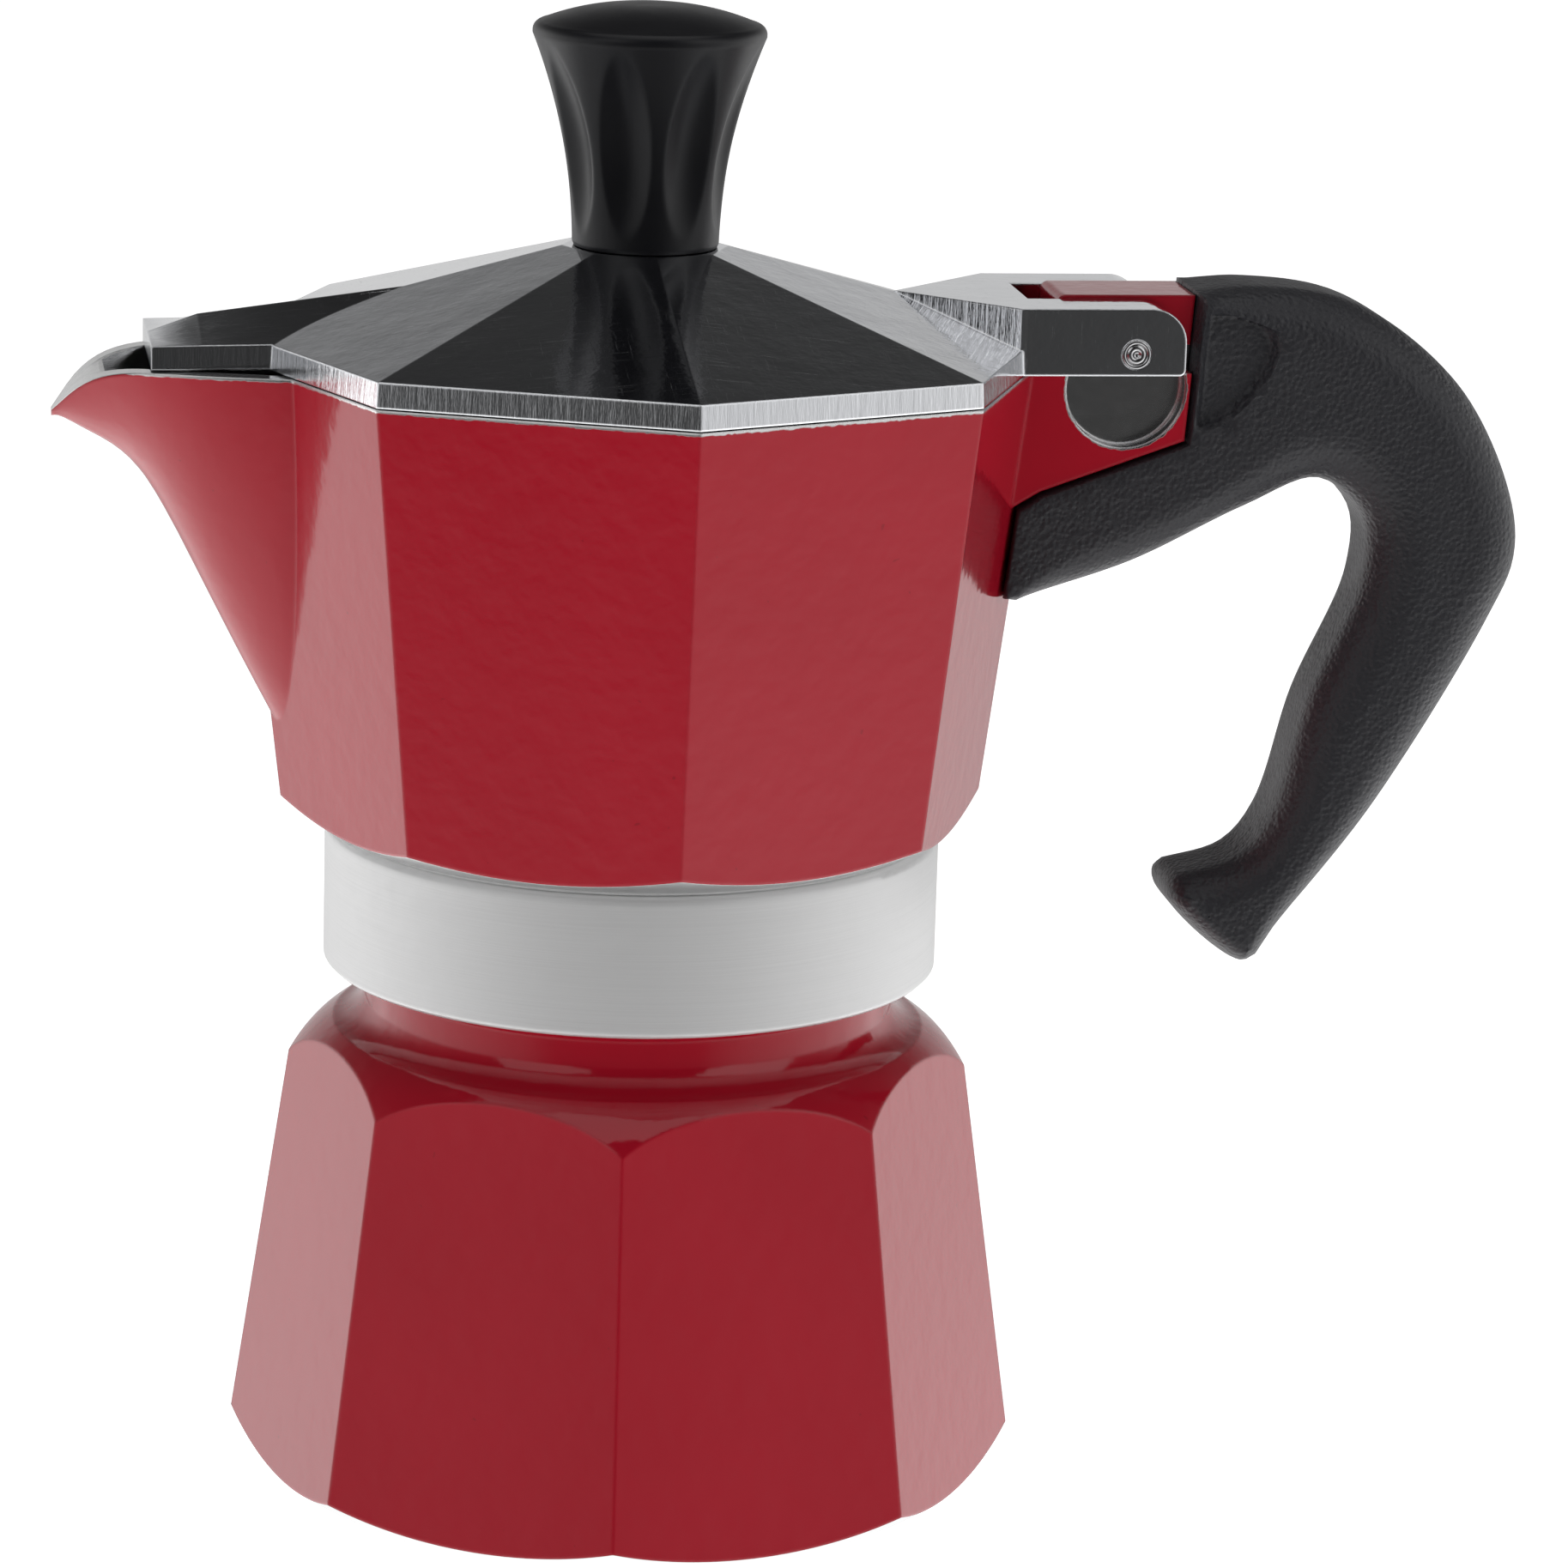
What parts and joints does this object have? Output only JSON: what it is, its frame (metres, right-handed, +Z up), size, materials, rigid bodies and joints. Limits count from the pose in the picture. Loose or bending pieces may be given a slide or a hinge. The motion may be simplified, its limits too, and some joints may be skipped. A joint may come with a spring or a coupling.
{
  "type": "moka pot",
  "caption": "Octagonal stovetop coffee maker: screw-together boiler and spouted collector, hinged lid with fluted knob, hooked handle, funnel, filter and safety valve.",
  "frame": {"origin": "centre of the boiler's flat resting face, on the pot's vertical axis", "axes": "+Z up, +X towards the handle, -X towards the spout, Y along the lid's hinge pin"},
  "size_m": [0.1301, 0.0721, 0.133],
  "materials": {
    "red_enamel": "glossy red enamel over cast aluminium, bare metal at the foot, shoulder edge, band, rim and hinge pockets",
    "polished_aluminium": "polished, with fine scratches",
    "bare_aluminium": "turned or drawn, satin",
    "black_knob": "moulded black, satin gloss",
    "black_handle": "moulded black with a fine leather grain",
    "brass": "turned",
    "steel": "plain bright steel",
    "seal_rubber": "off-white moulded silicone",
    "fibre_washer": "red-brown fibre"
  },
  "bodies": {
    "boiler": {"boiler": "red_enamel", "valve_body": "brass", "valve_washer": "fibre_washer", "valve_retainer": "brass", "valve_spring": "steel"},
    "valve_plunger": {"valve_plunger": "steel"},
    "funnel": {"funnel": "bare_aluminium", "funnel_plate": "bare_aluminium"},
    "gasket": {"gasket": "seal_rubber"},
    "filter_plate": {"filter_plate": "bare_aluminium"},
    "collector": {"collector": "red_enamel", "riser_column": "bare_aluminium", "handle": "black_handle", "handle_screw": "steel"},
    "lid": {"lid": "polished_aluminium", "hinge_pin": "steel", "knob": "black_knob", "knob_insert": "brass", "knob_washer": "steel", "knob_screw": "steel"}
  },
  "joints": [
    {"name": "top_lift", "type": "slide", "parent": "boiler", "child": "gasket", "axis": [0, 0, 1], "range_m": [0, 0.1]},
    {"name": "collector_rise", "type": "slide", "parent": "gasket", "child": "filter_plate", "axis": [0, 0, 1], "range_m": [0, 0.012]},
    {"name": "collector_unscrew", "type": "hinge", "parent": "filter_plate", "child": "collector", "pos_m": [0, 0, 0.053], "axis": [0, 0, 1], "range_deg": [0, 1080]},
    {"name": "lid_hinge", "type": "hinge", "parent": "collector", "child": "lid", "pos_m": [0.0419, 0, 0.1041], "axis": [0, 1, 0], "range_deg": [0, 105]},
    {"name": "funnel_lift", "type": "slide", "parent": "boiler", "child": "funnel", "axis": [0, 0, 1], "range_m": [0, 0.055]},
    {"name": "valve_release", "type": "slide", "parent": "boiler", "child": "valve_plunger", "axis": [-0.2494, 0.9684, 0], "range_m": [0, 0.001], "stiffness_N_per_m": 600, "springref_m": -0.001, "deforming": ["valve_spring"]}
  ],
  "couplings": [
    {"joint": "collector_rise", "follows": "collector_unscrew", "m_per_rad": 0.00063662},
    {"joint": "funnel_lift", "follows": "top_lift", "ratio": 0.55}
  ]
}
